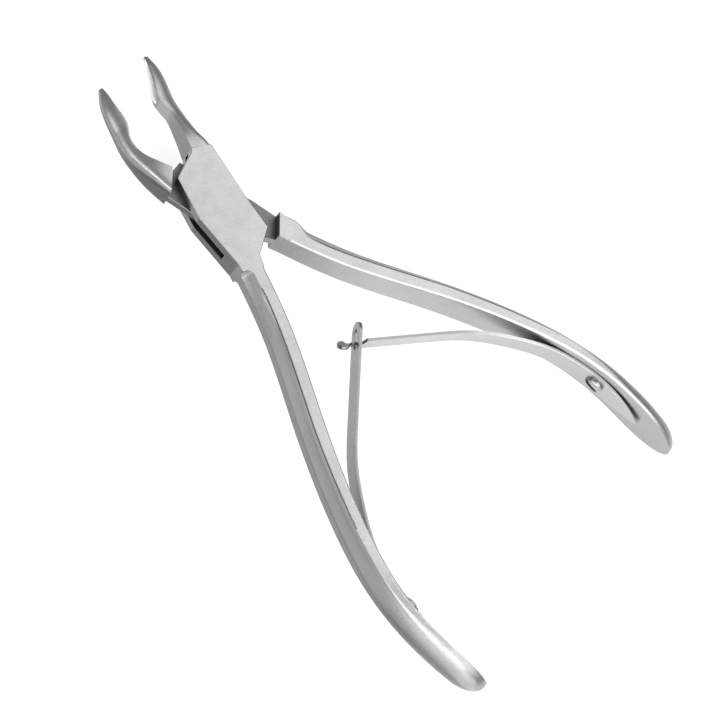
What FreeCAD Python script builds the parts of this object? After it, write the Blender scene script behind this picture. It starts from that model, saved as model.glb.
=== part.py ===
import FreeCAD, Part
import math
import os
from FreeCAD import Matrix, Placement, Rotation, Vector

# Spring-handled box-joint pliers with cupped jaws, lying on their side and fully open.
# Frame: millimetres, Z along the pivot, +Y towards the jaws, +X towards the outer lever's jaw.
# The origin is on the pivot axis, on the lower flat face of the box.

# ---- driving dimensions ----
BOX_T = 8.8                 # thickness of the box over both plates
SHOULDER_T = 9.4            # thickness of the full-thickness shoulders on each side of the box
TONGUE_T = 2.7              # thickness of the inner lever where it passes through the box
SLOT_GAP = 0.1              # clearance between the tongue and each plate
MID_Z = BOX_T / 2.0         # mid-plane of the whole tool

RIVET_D = 3.8
RIVET_BORE_GAP = 0.04       # radial clearance of the rivet in the tongue

HANDLE_T_END = 12.2         # thickness of a handle over its palm end
HANDLE_GROWTH = 80.0        # length over which the handle widens to that
HANDLE_DEPTH = 4.9          # in-plane depth of a handle near the box
HANDLE_DEPTH_END = 4.2
STRIP = 2.3                 # flat strip beside the inner face, top and bottom
STRIP_END = 1.3
OUTER_FLAT = 3.4            # flat on the outer side, between the two bevels
HANDLE_STATIONS = 13        # sections the handle is lofted through
HANDLE_END_Y = -111.3
HANDLE_END_ROUND = 12.0     # length of the rounded palm end
PALM_CUT_REACH = 60.0       # the palm-end outline is extruded this far, across the whole handle

CUP_HALF_LENGTH = 4.6       # the cup is half of a flattened ball, sunk behind the jaw's rim
CUP_HALF_WIDTH = 1.75
CUP_DEPTH = 2.1
CUP_HEEL = 4                # jaw stations between which the cup lies
CUP_TIP = 7
JAW_STEPS = 8               # spans of the spline round the outside of a jaw

LEAF_T = 0.7                # thickness of both leaf springs
HOOKED_LEAF_W = 7.0
SLOTTED_LEAF_W = 5.5
SEAT_GAP = 0.09             # thin gap between a leaf and the handle it lies on
FLEX_GAP = 0.3              # break between the clamped foot and the flexing blade
LEAF_SLOT_L = 4.8
LEAF_SLOT_W = 2.1
SLOT_START = -1.4           # from the crossing to the near end of the leaf's slot
LEAF_TIP_WALL = 1.6         # strip left between the slot and the leaf's tip
LEAF_CUT_REACH = 1.5        # the slot's cutters reach this far past the leaf on each side
RIBBON_STEPS = 8            # spans of the spline along each side of a leaf
NECK_W = 1.3
NECK_L = 3.0
NECK_ROOT = 0.5             # the neck runs this far into the wide strip
NECK_TIP = 0.3              # and this far into the paddle
PADDLE_L = 3.2
PADDLE_W = 3.0
PADDLE_TWIST = 40.0         # degrees

SCREW_HEAD_D = 4.9
SCREW_HEAD_H = 1.7
SCREW_HEAD_ROUND = 0.8
DRIVE_SLOT = 0.8            # width and depth of the slot in the head
SCREW_SHANK_D = 2.4
SCREW_SHANK_L = 4.2         # from under the head
SCREW_HOLE_L = 3.7          # into the handle, so that its outer face stays whole
HOLE_LEAD = 2.0             # the hole's cutter also starts this far above the handle, through the leaf
SCREW_Y = -87.4

# ---- plan outlines, X and Y in the fully open pose ----
# inner face of the +X handle, from the shoulder to the palm end; the -X handle mirrors it
HANDLE_INNER = [(3.3, -13.1), (9.2, -27.6), (19.4, -46.4), (29.2, -66.5), (34.9, -85.0), (34.9, -111.6)]
# flexing part of the hooked leaf, from the handle to the neck; the slotted leaf mirrors it
LEAF_FREE = [(30.8, -73.0), (27.1, -66.9), (20.6, -58.6), (13.4, -52.3), (0.0, -41.5), (-4.9, -37.6)]
LEAF_CLAMP = [95.0, 90.0, 85.0, 80.0, 75.0]   # distances along the handle where the leaf lies on it
FLEX_HINGE = LEAF_FREE[0]
CROSSING = (0.0, -41.5)     # where the two leaves cross

BOX_OUTLINE = [(2.7, 12.6), (3.6, 13.4), (7.5, 11.1), (4.4, -2.4), (3.1, -10.0), (-2.8, -13.0),
               (-4.0, -15.5), (-8.4, -13.0), (-7.9, -11.4), (-6.7, 1.3), (-3.6, 10.7)]
TONGUE_OUTLINE = [(-3.4, 12.6), (0.5, 13.0), (6.1, -3.4), (7.4, -9.5), (8.0, -12.3), (4.0, -15.0),
                  (3.3, -13.1), (-5.7, -0.5), (-6.0, 4.4), (-7.2, 10.0)]
HANDLE_ROOT = [(3.3, -13.1), (7.4, -9.5), (7.95, -12.3), (4.0, -15.0)]
SLOT_WALL_RIGHT = 5.05      # X of the slot's wall beside the jaw root
SLOT_WALL_Y = 7.8           # the slot is open at the side below this on +X
SLOT_RADIUS = 13.6
SLOT_REACH = 15.6           # half side of the square that the slot's outline is drawn in
SLOT_WALL_LEFT = [(-0.6, -SLOT_REACH), (-2.75, -SLOT_WALL_Y)]   # slanted wall by the -X handle

# jaw stations: inner point, outer point, half height, roundness of the outer side (2 = round)
INNER_JAW = [((-2.6, 13.1), (-7.1, 9.3), 4.7, 6.0),
             ((-3.9, 16.2), (-7.6, 14.2), 4.3, 5.0),
             ((-4.7, 20.0), (-7.7, 19.2), 3.2, 3.2),
             ((-3.9, 23.6), (-7.0, 23.2), 2.6, 2.4),
             ((-2.1, 26.0), (-5.7, 26.8), 2.5, 2.0),
             ((-0.9, 30.2), (-4.1, 30.9), 2.1, 2.0),
             ((0.1, 34.0), (-2.0, 34.3), 1.35, 2.0),
             ((0.5, 35.8), (-0.4, 36.0), 0.6, 2.0)]
OUTER_JAW = [((3.4, 12.9), (7.5, 10.9), 4.4, 8.0),
             ((4.9, 16.0), (7.9, 14.8), 4.2, 6.0),
             ((5.9, 18.9), (8.8, 18.2), 3.4, 3.6),
             ((6.8, 22.0), (9.6, 21.0), 2.6, 2.6),
             ((7.2, 25.9), (10.5, 24.0), 2.5, 2.0),
             ((9.4, 29.6), (12.2, 27.9), 2.1, 2.0),
             ((11.5, 33.0), (13.3, 31.8), 1.35, 2.0),
             ((12.6, 34.9), (13.4, 34.4), 0.6, 2.0)]


def vec(point, z=0.0):
    return Vector(point[0], point[1], z)


def prism(points, thickness):
    """Flat plate with the given outline, centred on the mid-plane."""
    outline = [vec(p, -thickness / 2.0) for p in points]
    face = Part.Face(Part.makePolygon(outline + outline[:1]))
    return face.extrude(Vector(0, 0, thickness))


def cylinder(radius, thickness):
    return Part.makeCylinder(radius, thickness, Vector(0, 0, -thickness / 2.0))


def spline(points):
    curve = Part.BSplineCurve()
    curve.interpolate([vec(p) for p in points])
    return curve.toShape()


def frame_at(edge, distance):
    """Point, tangent and normal (towards +X side of travel down the handle) on a plan curve."""
    parameter = edge.getParameterByLength(distance)
    point = edge.valueAt(parameter)
    tangent = edge.tangentAt(parameter)
    return point, tangent, Vector(-tangent.y, tangent.x, 0)


def handle_section(edge, distance, root_t):
    """Inner face, two flat strips, two bevels and an outer flat."""
    point, tangent, outward = frame_at(edge, distance)
    share = distance / edge.Length
    growth = math.sin(math.pi / 2.0 * min(1.0, distance / HANDLE_GROWTH))
    half = (root_t + (HANDLE_T_END - root_t) * growth) / 2.0
    depth = HANDLE_DEPTH + (HANDLE_DEPTH_END - HANDLE_DEPTH) * share
    strip = STRIP + (STRIP_END - STRIP) * share
    flat = OUTER_FLAT / 2.0
    corners = [(0, -half), (strip, -half), (depth, -flat), (depth, flat), (strip, half), (0, half)]
    ring = [point + outward * d + Vector(0, 0, z) for d, z in corners]
    return Part.makePolygon(ring + ring[:1])


def palm_end():
    """Side view of a handle with its rounded end, extruded across both handles."""
    above = HANDLE_T_END
    start = HANDLE_END_Y + HANDLE_END_ROUND
    rim = HANDLE_T_END / 2.0
    top = Vector(0, start, rim)
    bottom = Vector(0, start, -rim)
    tip = Vector(0, HANDLE_END_Y, 0)
    diagonal = math.sqrt(0.5)
    upper = Vector(0, start - HANDLE_END_ROUND * diagonal, rim * diagonal)
    lower = Vector(0, start - HANDLE_END_ROUND * diagonal, -rim * diagonal)
    curve = Part.BSplineCurve()
    curve.interpolate([top, upper, tip, lower, bottom], InitialTangent=Vector(0, -1, 0),
                      FinalTangent=Vector(0, 1, 0))
    back_top = Vector(0, 0, above)
    back_bottom = Vector(0, 0, -above)
    step_top = Vector(0, start, above)
    step_bottom = Vector(0, start, -above)
    rest = Part.makePolygon([bottom, step_bottom, back_bottom, back_top, step_top, top])
    wire = Part.Wire([curve.toShape()] + rest.Edges)
    return Part.Face(wire).extrude(Vector(PALM_CUT_REACH, 0, 0))


def handle(root_t):
    """The +X handle from its shoulder to its rounded palm end."""
    edge = spline(HANDLE_INNER)
    stations = [edge.Length * k / (HANDLE_STATIONS - 1) for k in range(HANDLE_STATIONS)]
    body = Part.makeLoft([handle_section(edge, s, root_t) for s in stations], True, False)
    return body.common(palm_end())


def jaw_section(inner, outer, half, roundness):
    """Flat inner side, and an outer side between square and round."""
    start = vec(inner)
    across = vec(outer) - start
    points = []
    for k in range(JAW_STEPS + 1):
        angle = math.pi / 2.0 - math.pi * k / JAW_STEPS
        depth = abs(math.cos(angle)) ** (2.0 / roundness)
        height = abs(math.sin(angle)) ** (2.0 / roundness)
        points.append(start + across * depth + Vector(0, 0, math.copysign(height * half, angle)))
    points[0] = start + Vector(0, 0, half)
    points[-1] = start - Vector(0, 0, half)
    outer_curve = Part.BSplineCurve()
    outer_curve.interpolate(points)
    return Part.Wire([outer_curve.toShape(), Part.makeLine(points[-1], points[0])])


def cup(heel, tip):
    """Hollow that is scooped out of a jaw behind its rim."""
    along = vec(tip) - vec(heel)
    centre = vec(heel) + along / 2.0
    ball = Part.makeSphere(1.0)
    scale = Matrix()
    scale.scale(Vector(CUP_HALF_LENGTH, CUP_DEPTH, CUP_HALF_WIDTH))
    hollow = ball.transformGeometry(scale)
    turn = math.degrees(math.atan2(along.y, along.x))
    hollow.Placement = Placement(centre, Rotation(Vector(0, 0, 1), turn))
    return hollow


def jaw(stations):
    solid = Part.makeLoft([jaw_section(*s) for s in stations], True, False)
    return solid.cut(cup(stations[CUP_HEEL][0], stations[CUP_TIP][0]))


def slot():
    """Opening through the box that the tongue turns in."""
    wall = SLOT_WALL_RIGHT
    reach = SLOT_REACH
    low_left = (-reach, SLOT_WALL_LEFT[-1][1])
    outline = [(-reach, reach), (wall, reach), (wall, SLOT_WALL_Y), (reach, SLOT_WALL_Y), (reach, -reach)]
    outline = outline + SLOT_WALL_LEFT + [low_left]
    thickness = TONGUE_T + 2.0 * SLOT_GAP
    return prism(outline, thickness).common(cylinder(SLOT_RADIUS, thickness))


def screw_place():
    """Point on the +X handle's inner face under the screw, and the outward normal there."""
    edge = spline(HANDLE_INNER)
    low, high = 0.0, edge.Length
    while high - low > 0.01:
        middle = (low + high) / 2.0
        if frame_at(edge, middle)[0].y > SCREW_Y:
            low = middle
        else:
            high = middle
    point, tangent, outward = frame_at(edge, low)
    return point, outward


def screw():
    """Round-headed screw with a drive slot, seated on the leaf spring."""
    point, outward = screw_place()
    shank = Part.makeCylinder(SCREW_SHANK_D / 2.0, SCREW_SHANK_L)
    head = Part.makeCylinder(SCREW_HEAD_D / 2.0, SCREW_HEAD_H, Vector(0, 0, -SCREW_HEAD_H))
    rim = [e for e in head.Edges if e.BoundBox.ZMax < -SCREW_HEAD_H + 0.01]
    head = head.makeFillet(SCREW_HEAD_ROUND, rim)
    corner = Vector(-SCREW_HEAD_D / 2.0, -DRIVE_SLOT / 2.0, -SCREW_HEAD_H)
    drive = Part.makeBox(SCREW_HEAD_D, DRIVE_SLOT, DRIVE_SLOT, corner)
    solid = head.cut(drive).fuse(shank).removeSplitter()
    seat = point - outward * (LEAF_T + SEAT_GAP)
    solid.Placement = Placement(seat, Rotation(Vector(0, 0, 1), outward))
    return solid


def screw_hole():
    """Cutter for the hole through the leaf and into the handle."""
    point, outward = screw_place()
    start = point - outward * HOLE_LEAD
    return Part.makeCylinder(SCREW_SHANK_D / 2.0, HOLE_LEAD + SCREW_HOLE_L, start, outward)


def leaf_line():
    """Centre line of a leaf on the +X handle, from its clamped end to past the crossing."""
    edge = spline(HANDLE_INNER)
    points = []
    for distance in LEAF_CLAMP:
        point, tangent, outward = frame_at(edge, distance)
        points.append(point - outward * (LEAF_T / 2.0 + SEAT_GAP))
    return spline([(p.x, p.y) for p in points] + LEAF_FREE)


def distance_to(edge, point):
    """Distance along a plan curve to the place nearest a point."""
    parameter = edge.Curve.parameter(vec(point))
    return edge.Curve.length(edge.FirstParameter, parameter)


def ribbon(edge, start, stop, width):
    """Strip of leaf between two distances along its centre line."""
    sides = ([], [])
    for k in range(RIBBON_STEPS + 1):
        point, tangent, normal = frame_at(edge, start + (stop - start) * k / RIBBON_STEPS)
        sides[0].append(point + normal * (LEAF_T / 2.0) - Vector(0, 0, width / 2.0))
        sides[1].append(point - normal * (LEAF_T / 2.0) - Vector(0, 0, width / 2.0))
    curves = []
    for side in sides:
        curve = Part.BSplineCurve()
        curve.interpolate(side)
        curves.append(curve.toShape())
    ends = [Part.makeLine(sides[0][k], sides[1][k]) for k in (0, -1)]
    wire = Part.Wire([curves[0], ends[1], curves[1], ends[0]])
    return Part.Face(wire).extrude(Vector(0, 0, width))


def leaf_disc(edge, distance, diameter):
    """Round plate in the plane of the leaf, for rounded ends and slot ends."""
    point, tangent, normal = frame_at(edge, distance)
    return Part.makeCylinder(diameter / 2.0, LEAF_T, point - normal * (LEAF_T / 2.0), normal)


def leaf_foot(width):
    """Clamped end of a leaf, held on the handle's inner face by the screw."""
    edge = leaf_line()
    hinge = distance_to(edge, FLEX_HINGE)
    strip = ribbon(edge, width / 2.0, hinge - FLEX_GAP / 2.0, width)
    foot = strip.fuse(leaf_disc(edge, width / 2.0, width)).removeSplitter()
    return foot.cut(screw_hole())


def hooked_blade():
    """Free part of the hooked leaf: wide strip, neck through the slot, twisted paddle."""
    edge = leaf_line()
    start = distance_to(edge, FLEX_HINGE) + FLEX_GAP / 2.0
    crossing = distance_to(edge, CROSSING)
    shoulder = crossing - NECK_L / 2.0
    strip = ribbon(edge, start, shoulder, HOOKED_LEAF_W)
    neck = ribbon(edge, shoulder - NECK_ROOT, crossing + NECK_L / 2.0 + NECK_TIP, NECK_W)
    point, tangent, normal = frame_at(edge, crossing + (NECK_L + PADDLE_L) / 2.0)
    face_normal = Rotation(tangent, PADDLE_TWIST).multVec(normal)
    rim = Part.Ellipse(Vector(0, 0, 0), PADDLE_L / 2.0, PADDLE_W / 2.0).toShape()
    paddle = Part.Face(Part.Wire(rim)).extrude(Vector(0, 0, LEAF_T))
    paddle.translate(Vector(0, 0, -LEAF_T / 2.0))
    paddle.Placement = Placement(point, Rotation(tangent, Vector(0, 0, 0), face_normal, "ZXY"))
    return strip.fuse([neck, paddle]).removeSplitter()


def slotted_blade():
    """Free part of the slotted leaf, built on +X: strip with a round tip and a lengthwise slot."""
    edge = leaf_line()
    start = distance_to(edge, FLEX_HINGE) + FLEX_GAP / 2.0
    crossing = distance_to(edge, CROSSING)
    tip = crossing + SLOT_START + LEAF_SLOT_L + LEAF_TIP_WALL - SLOTTED_LEAF_W / 2.0
    strip = ribbon(edge, start, tip, SLOTTED_LEAF_W).fuse(leaf_disc(edge, tip, SLOTTED_LEAF_W))
    ends = [crossing + SLOT_START + LEAF_SLOT_W / 2.0,
            crossing + SLOT_START + LEAF_SLOT_L - LEAF_SLOT_W / 2.0]
    for distance in ends:
        point, tangent, normal = frame_at(edge, distance)
        start_point = point - normal * LEAF_CUT_REACH
        strip = strip.cut(Part.makeCylinder(LEAF_SLOT_W / 2.0, 2.0 * LEAF_CUT_REACH, start_point, normal))
    point, tangent, normal = frame_at(edge, (ends[0] + ends[1]) / 2.0)
    window = Part.makeBox(ends[1] - ends[0], 2.0 * LEAF_CUT_REACH, LEAF_SLOT_W,
                          Vector(-(ends[1] - ends[0]) / 2.0, -LEAF_CUT_REACH, -LEAF_SLOT_W / 2.0))
    turn = math.degrees(math.atan2(tangent.y, tangent.x))
    window.Placement = Placement(point, Rotation(Vector(0, 0, 1), turn)).multiply(window.Placement)
    return strip.cut(window).removeSplitter()


def inner_lever():
    """Jaw on -X, tongue through the box, handle on +X."""
    parts = [prism(HANDLE_ROOT, SHOULDER_T), handle(SHOULDER_T), jaw(INNER_JAW)]
    body = prism(TONGUE_OUTLINE, TONGUE_T).fuse(parts).removeSplitter()
    return body.cut([cylinder(RIVET_D / 2.0 + RIVET_BORE_GAP, BOX_T), screw_hole()])


def outer_lever():
    """Jaw on +X, slotted box, handle on -X."""
    body = prism(BOX_OUTLINE, BOX_T).fuse([mirror(handle(BOX_T)), jaw(OUTER_JAW)]).removeSplitter()
    return body.cut([slot(), cylinder(RIVET_D / 2.0, BOX_T), mirror(screw_hole())])


def mirror(shape):
    return shape.mirror(Vector(0, 0, 0), Vector(1, 0, 0))


def build():
    """Every piece in its place, the whole tool lifted so that the box stands on Z = 0."""
    pieces = {
        "outer_lever": outer_lever(),
        "inner_lever": inner_lever(),
        "pivot_rivet": cylinder(RIVET_D / 2.0, BOX_T),
        "hooked_spring_foot": leaf_foot(HOOKED_LEAF_W),
        "hooked_spring_blade": hooked_blade(),
        "hooked_spring_screw": screw(),
        "slotted_spring_foot": mirror(leaf_foot(SLOTTED_LEAF_W)),
        "slotted_spring_blade": mirror(slotted_blade()),
        "slotted_spring_screw": mirror(screw()),
    }
    for shape in pieces.values():
        shape.translate(Vector(0, 0, MID_Z))
    return pieces


def main():
    os.makedirs("parts", exist_ok=True)
    for name, shape in build().items():
        solid = shape.Solids[0]
        solid.exportStep("parts/%s.step" % name)
        print("%-22s valid %s volume %.1f" % (name, shape.isValid(), shape.Volume))


if __name__ == "__main__":
    main()
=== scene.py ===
import math

import bmesh
import bpy
import numpy as np
from mathutils import Matrix, Vector


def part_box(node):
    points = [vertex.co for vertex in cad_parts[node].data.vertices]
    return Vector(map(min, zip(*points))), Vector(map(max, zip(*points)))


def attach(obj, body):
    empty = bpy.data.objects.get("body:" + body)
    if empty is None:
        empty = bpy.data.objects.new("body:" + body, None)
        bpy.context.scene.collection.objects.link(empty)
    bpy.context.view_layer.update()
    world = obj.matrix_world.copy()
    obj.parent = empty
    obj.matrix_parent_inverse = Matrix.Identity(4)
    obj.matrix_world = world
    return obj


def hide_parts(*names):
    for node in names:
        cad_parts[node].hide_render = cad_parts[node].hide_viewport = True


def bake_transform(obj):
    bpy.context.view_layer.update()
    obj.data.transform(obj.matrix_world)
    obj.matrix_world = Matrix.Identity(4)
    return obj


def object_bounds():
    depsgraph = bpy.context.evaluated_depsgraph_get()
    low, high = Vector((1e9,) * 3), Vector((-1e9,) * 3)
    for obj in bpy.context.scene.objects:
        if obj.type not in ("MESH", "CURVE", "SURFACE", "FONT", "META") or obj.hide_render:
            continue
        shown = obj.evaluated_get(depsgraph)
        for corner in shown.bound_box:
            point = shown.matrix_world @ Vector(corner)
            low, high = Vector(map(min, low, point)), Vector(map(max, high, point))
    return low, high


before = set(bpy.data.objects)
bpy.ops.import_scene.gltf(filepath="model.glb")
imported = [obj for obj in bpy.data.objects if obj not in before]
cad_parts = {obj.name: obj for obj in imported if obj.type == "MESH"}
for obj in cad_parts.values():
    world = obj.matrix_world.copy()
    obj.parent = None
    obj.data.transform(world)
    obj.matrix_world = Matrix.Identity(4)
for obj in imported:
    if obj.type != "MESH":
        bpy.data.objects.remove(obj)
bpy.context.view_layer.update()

MM = 0.001
BOX_FACE, BOX_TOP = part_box("pivot_rivet")
MID_Z = (BOX_FACE.z + BOX_TOP.z) / 2.0 / MM          # mid-plane of the tool, mm
BOX_HALF = (BOX_TOP.z - BOX_FACE.z) / 2.0 / MM       # half thickness of the box, mm
RIVET_R = BOX_TOP.x / MM

# ---- camera ----
CAMERA_TARGET = Vector((-0.00407, -0.04399, 0.0092))
CAMERA_DISTANCE = 0.3272
CAMERA_AZIMUTH = math.radians(-101.9)
CAMERA_ELEVATION = math.radians(67.2)
CAMERA_ROLL = math.radians(55.7)
CAMERA_LENS = 76.45

# ---- the two levers, plan sizes in mm, Z measured from the mid-plane ----
SHOULDER_HALF = 4.7
TONGUE_HALF = 1.35
SLOT_HALF = 1.45
HANDLE_INNER = [(3.3, -13.1), (9.2, -27.6), (19.4, -46.4), (29.2, -66.5), (34.9, -85.0), (34.9, -111.6)]
HANDLE_DEPTH = (4.9, 4.2)            # near the box, at the palm end
HANDLE_HALF_END = 6.1
HANDLE_GROWTH = 80.0
GROWTH_START = 3.0
STRIP_AT = (0.0, 20.0, 40.0, 60.0, 80.0, 100.0)     # distances down the handle
STRIP = (2.6, 2.95, 2.9, 2.5, 2.0, 1.5)             # width of the flat strip at each of them
HOLLOW = 0.20                        # how far the bevels are ground hollow
GROOVE = 0.18                        # depth of the fine line between a strip and its bevel
GROOVE_W = 0.40
EDGE_ROUND = 0.48                    # polished round along the inner edges of the handles
OUTER_FLAT_HALF = 1.7
PALM_ROUND = 13.0                    # length of the rounded palm end
PALM_INSET = 0.37                    # the visible palm ends this far inside the plan curve's end
PALM_SOFT = (40.0, 14.0)             # mm from the palm end over which the section turns round
TIP_SHARE = 0.15                     # share of its depth that a handle keeps at its very tip
TIP_REACH = 0.5                      # share of the palm end over which it thins to that
HANDLE_RINGS = 150
LINE_START = (1.0, 9.0)              # mm past the start of the bevel where the line comes in
LINE_END = (52.0, 80.0)              # mm down the handle where it fades out
NOTHING = 0.002                      # width in mm of a feature that has faded out
UNCUT_STEP = 0.3                     # strip and flat stop this far from the edges before the bevel
INNER_BEVEL = (1.8, 4.5)             # start and length of the bevel's run-in, inner lever
OUTER_BEVEL = (0.8, 2.0)
CREASE_ROUND = (0.08, 1.2)           # crease and outer edge of the bevel: shaft, palm
OUTER_ROUND = (0.5, 1.6)
FULL_ROUND_HALF = 3.0                # half height from which the rounds have their full size


def smoothstep(low, high, value):
    share = min(1.0, max(0.0, (value - low) / (high - low)))
    return share * share * (3.0 - 2.0 * share)


def mix(a, b, share):
    return a + (b - a) * share


class Curve:
    """Smooth plan curve through a few points, measured along its length."""

    def __init__(self, points, samples=800):
        knots = np.array(points, float)
        chord = np.concatenate([[0.0], np.cumsum(np.linalg.norm(np.diff(knots, axis=0), axis=1))])
        n = len(knots)
        step = np.diff(chord)
        system = np.eye(n)
        target = np.zeros_like(knots)
        for i in range(1, n - 1):
            system[i, i - 1:i + 2] = step[i - 1], 2.0 * (step[i - 1] + step[i]), step[i]
            slopes = (knots[i + 1] - knots[i]) / step[i] - (knots[i] - knots[i - 1]) / step[i - 1]
            target[i] = 6.0 * slopes
        bend = np.linalg.solve(system, target)
        where = np.linspace(0.0, chord[-1], samples)
        span = np.clip(np.searchsorted(chord, where, side="right") - 1, 0, n - 2)
        h = step[span][:, None]
        a = (chord[span + 1] - where)[:, None] / h
        b = 1.0 - a
        curve = a * knots[span] + b * knots[span + 1]
        curve += ((a ** 3 - a) * bend[span] + (b ** 3 - b) * bend[span + 1]) * h ** 2 / 6.0
        self.points = curve
        self.lengths = np.concatenate([[0.0], np.cumsum(np.linalg.norm(np.diff(curve, axis=0), axis=1))])
        self.length = self.lengths[-1]

    def at(self, distance):
        return np.array([np.interp(distance, self.lengths, self.points[:, k]) for k in (0, 1)])

    def tangent(self, distance):
        ahead = self.at(min(self.length, distance + 0.2))
        behind = self.at(max(0.0, distance - 0.2))
        return (ahead - behind) / np.linalg.norm(ahead - behind)

    def normal(self, distance):
        tx, ty = self.tangent(distance)
        return np.array([-ty, tx])

    def nearest(self, point):
        gaps = np.linalg.norm(self.points - np.array(point), axis=1)
        return self.lengths[int(np.argmin(gaps))]


CORNER_STEPS = 6                     # points on each rounded corner of a ring
BEVEL_STEPS = 5                      # flats that make up a hollow bevel
SMALL_ROUND = 0.05


def rounded(corners):
    """Ring of (depth, height) points round a polygon of (depth, height, radius) corners."""
    flat = [np.array(c[:2], float) for c in corners]
    ring = []
    for i, corner in enumerate(flat):
        back = flat[i - 1] - corner
        ahead = flat[(i + 1) % len(flat)] - corner
        back_length = np.linalg.norm(back)
        ahead_length = np.linalg.norm(ahead)
        reach = min(corners[i][2], 0.48 * back_length, 0.48 * ahead_length)
        start = corner + back / back_length * reach
        stop = corner + ahead / ahead_length * reach
        for k in range(CORNER_STEPS):
            t = k / (CORNER_STEPS - 1)
            ring.append((1 - t) ** 2 * start + 2 * t * (1 - t) * corner + t * t * stop)
    return ring


def placed(near, far, ring):
    """Puts a ring of (depth, height) points in the upright plane through two plan points."""
    near = np.array(near, float)
    far = np.array(far, float)
    across = (far - near) / np.linalg.norm(far - near)
    return [(near[0] + across[0] * u, near[1] + across[1] * u, z) for u, z in ring]


def softened(ring, depth, half, share):
    """Draws the outside of a handle's ring towards a half ellipse."""
    count = len(ring) // 2
    points = np.array(ring[:count])
    steps = np.linalg.norm(np.diff(points, axis=0), axis=1)
    run = np.concatenate([[0.0], np.cumsum(steps)]) + 1e-9
    turn = math.pi / 2.0 * ((1.0 - share) * run / run[-1] + share * np.linspace(0.0, 1.0, count))
    target = np.stack([depth * np.sin(turn), half * np.cos(turn)], axis=1)
    upper = points * (1.0 - share) + target * share
    return [tuple(point) for point in upper] + [(u, -z) for u, z in upper[::-1]]


def handle_ring(depth, half, strip, flat, hollow, groove, groove_w, radii, share):
    """Inner face, flat strips and hollow-ground bevels down to a flat outer side."""
    r_inner, r_crease, r_outer = radii
    upper = [(0.0, half, r_inner),
             (strip - groove_w, half, r_crease),
             (strip - 0.4 * groove_w, half - groove, SMALL_ROUND)]
    run = np.array([depth - strip, flat - half])
    sink = np.array([run[1], -run[0]]) / max(1e-6, np.linalg.norm(run))
    for k in range(1, BEVEL_STEPS):
        t = k / BEVEL_STEPS
        place = np.array([strip, half]) + run * t + sink * hollow * 4.0 * t * (1.0 - t) * (1.0 - 0.45 * t)
        upper.append((place[0], place[1], SMALL_ROUND))
    upper.append((depth, flat, r_outer))
    lower = [(u, -z, r) for u, z, r in reversed(upper)]
    ring = rounded(upper + lower)
    return softened(ring, depth, half, share) if share > 0 else ring


def handle_rings(root_half, bevel_start, bevel_length):
    """Rings of the +X handle from the palm end up to the root, inner side first."""
    curve = Curve(HANDLE_INNER)
    end = curve.length - PALM_INSET
    rings = []
    for k in range(HANDLE_RINGS + 1):
        share = 1.0 - k / HANDLE_RINGS
        distance = end * (1.0 - math.cos(math.pi * share)) / 2.0
        grown = min(1.0, max(0.0, distance - GROWTH_START) / (HANDLE_GROWTH - GROWTH_START))
        growth = math.sin(math.pi / 2.0 * grown)
        half = mix(root_half, HANDLE_HALF_END, growth)
        depth = mix(HANDLE_DEPTH[0], HANDLE_DEPTH[1], distance / end)
        cut = smoothstep(bevel_start, bevel_start + bevel_length, distance)
        soft = smoothstep(end - PALM_SOFT[0], end - PALM_SOFT[1], distance)
        strip = mix(depth - UNCUT_STEP, float(np.interp(distance, STRIP_AT, STRIP)), cut)
        flat = mix(half - UNCUT_STEP, OUTER_FLAT_HALF, cut)
        to_end = max(0.0, 1.0 - (end - distance) / PALM_ROUND)
        shrink = max(0.02, math.sqrt(max(0.0, 1.0 - to_end ** 2)))
        near_end = max(0.0, 1.0 - (end - distance) / (TIP_REACH * PALM_ROUND))
        thin = mix(1.0, TIP_SHARE, 1.0 - math.sqrt(max(0.0, 1.0 - near_end ** 2)))
        half *= shrink
        flat *= shrink
        depth *= thin
        strip *= thin
        hollow = HOLLOW * cut * (1.0 - soft) * shrink
        line = smoothstep(bevel_start + LINE_START[0], bevel_start + LINE_START[1], distance)
        line *= 1.0 - smoothstep(LINE_END[0], LINE_END[1], distance)
        groove = GROOVE * line + NOTHING
        groove_w = GROOVE_W * line + 5.0 * NOTHING
        fit = min(1.0, half / FULL_ROUND_HALF)
        radii = (EDGE_ROUND * fit, mix(*CREASE_ROUND, soft) * fit, mix(*OUTER_ROUND, soft) * fit)
        inner = curve.at(distance)
        outer = inner + curve.normal(distance) * depth
        ring = handle_ring(depth, half, strip, flat, hollow, groove, groove_w, radii, soft)
        rings.append(placed(inner, outer, ring))
    return rings


def mirrored(rings):
    """The same rings on the other side of the tool, still running the same way round."""
    return [[(-x, y, z) for x, y, z in ring] for ring in rings]


def skin(name, rings, bands=()):
    """Closed mesh through a row of rings, capped at both ends.

    Each band is (places in the ring, first row, last row, finish) and takes that finish."""
    mesh = bmesh.new()
    rows = [[mesh.verts.new((x * MM, y * MM, (z + MID_Z) * MM)) for x, y, z in ring] for ring in rings]
    count = len(rows[0])
    uv = mesh.loops.layers.uv.new("length_and_girth")
    along = 0.0
    for number, (row, after) in enumerate(zip(rows, rows[1:])):
        step = sum((a.co - b.co).length for a, b in zip(row, after)) / count
        girth = 0.0
        for i in range(count):
            j = (i + 1) % count
            width = (row[j].co - row[i].co).length
            face = mesh.faces.new((row[i], row[j], after[j], after[i]))
            for places, first, last, finish in bands:
                if i in places and first < number < last:
                    face.material_index = finish
            corners = [(along, girth), (along, girth + width),
                       (along + step, girth + width), (along + step, girth)]
            for loop, corner in zip(face.loops, corners):
                loop[uv].uv = corner
            girth += width
        along += step
    mesh.faces.new(rows[0][::-1])
    mesh.faces.new(rows[-1])
    bmesh.ops.remove_doubles(mesh, verts=mesh.verts, dist=1e-6)
    bmesh.ops.recalc_face_normals(mesh, faces=mesh.faces)
    return to_object(name, mesh)


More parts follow.
